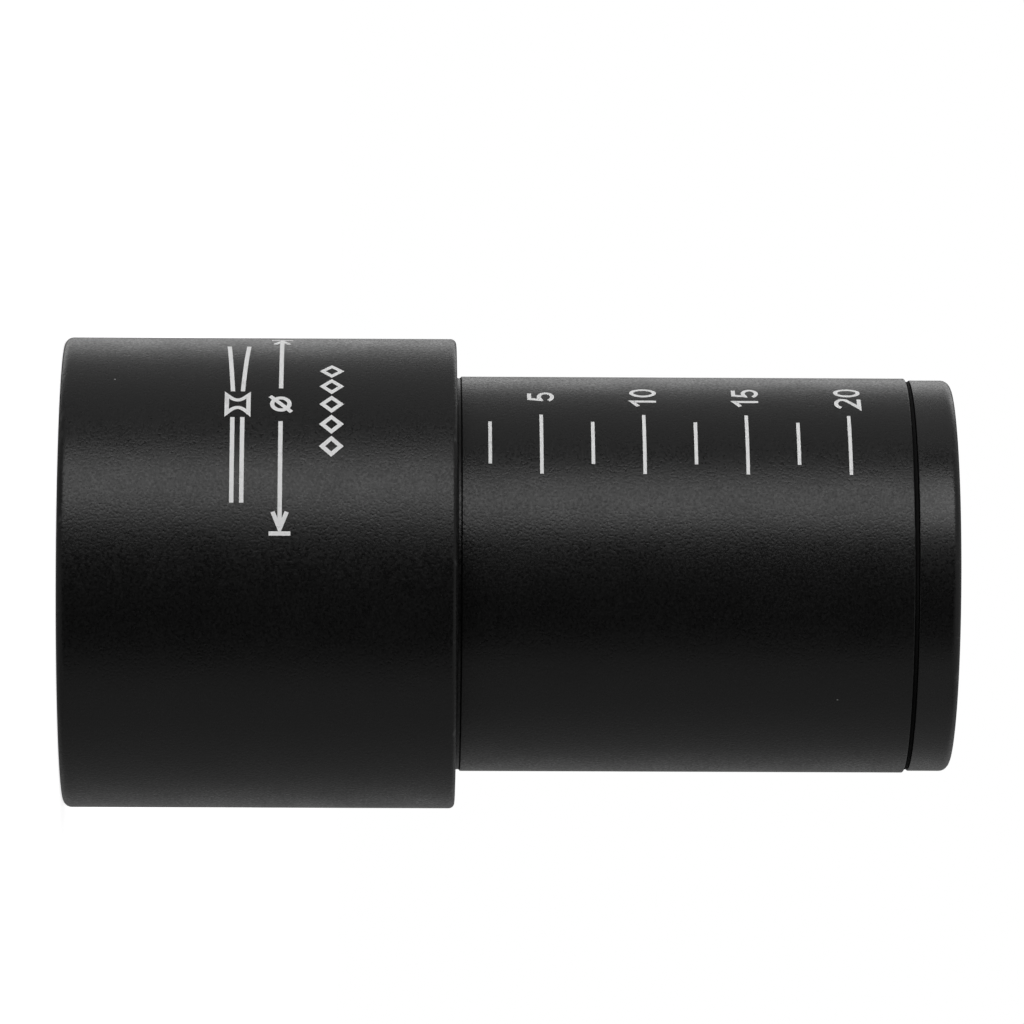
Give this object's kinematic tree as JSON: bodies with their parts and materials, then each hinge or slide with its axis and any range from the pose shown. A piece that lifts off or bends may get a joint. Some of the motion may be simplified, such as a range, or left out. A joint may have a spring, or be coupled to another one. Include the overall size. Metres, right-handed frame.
{
  "type": "barlow lens",
  "caption": "Matt black barlow lens: a graduated draw tube slides in a short wide sleeve, with a screw-in doublet cell at its front end.",
  "frame": {"origin": "centre of the outer sleeve's open rear face, on the optical axis, where the part stands on end", "axes": "+Z along the optical axis from the sleeve's rear face to the lens cell's front ring; X and Y across it, the scale facing between -Y and -X"},
  "size_m": [0.0232, 0.0232, 0.0437],
  "materials": {
    "matt_black_anodised": "fine matt bead-blasted black anodising",
    "satin_black_anodised": "satin turned black anodising",
    "inner_black": "dull anti-reflection black",
    "rubber": "matt black rubber",
    "nylon": "natural white nylon",
    "fibre": "black fibre washer",
    "coated_glass": "polished glass with a green anti-reflection coating",
    "scale_paint": "white paint in the engraved scale and marks"
  },
  "bodies": {
    "sleeve": {"outer_sleeve": "matt_black_anodised"},
    "friction_ring": {"friction_ring": "rubber"},
    "draw_tube": {"draw_tube": "matt_black_anodised", "stop_collar": "inner_black", "collar_glide_ring": "nylon", "light_baffle": "inner_black"},
    "cell_washer": {"cell_washer": "fibre"},
    "lens_cell": {"lens_cell": "satin_black_anodised", "flint_lens": "coated_glass", "crown_lens": "coated_glass", "lens_spacer": "inner_black", "lens_retaining_ring": "satin_black_anodised"}
  },
  "joints": [
    {"name": "draw_tube_turn", "type": "hinge", "parent": "sleeve", "child": "friction_ring", "pos_m": [0, 0, 0.01765], "axis": [0, 0, 1], "continuous": true},
    {"name": "draw_tube_slide", "type": "slide", "parent": "friction_ring", "child": "draw_tube", "axis": [0, 0, 1], "range_m": [-0.0191, 0]},
    {"name": "cell_travel", "type": "slide", "parent": "draw_tube", "child": "cell_washer", "axis": [0, 0, 1], "range_m": [0, 0.003]},
    {"name": "cell_unscrew", "type": "hinge", "parent": "cell_washer", "child": "lens_cell", "pos_m": [0, 0, 0.04167], "axis": [0, 0, 1], "range_deg": [0, 2160]}
  ],
  "couplings": [
    {"joint": "cell_unscrew", "follows": "cell_travel", "rad_per_m": 12566}
  ]
}
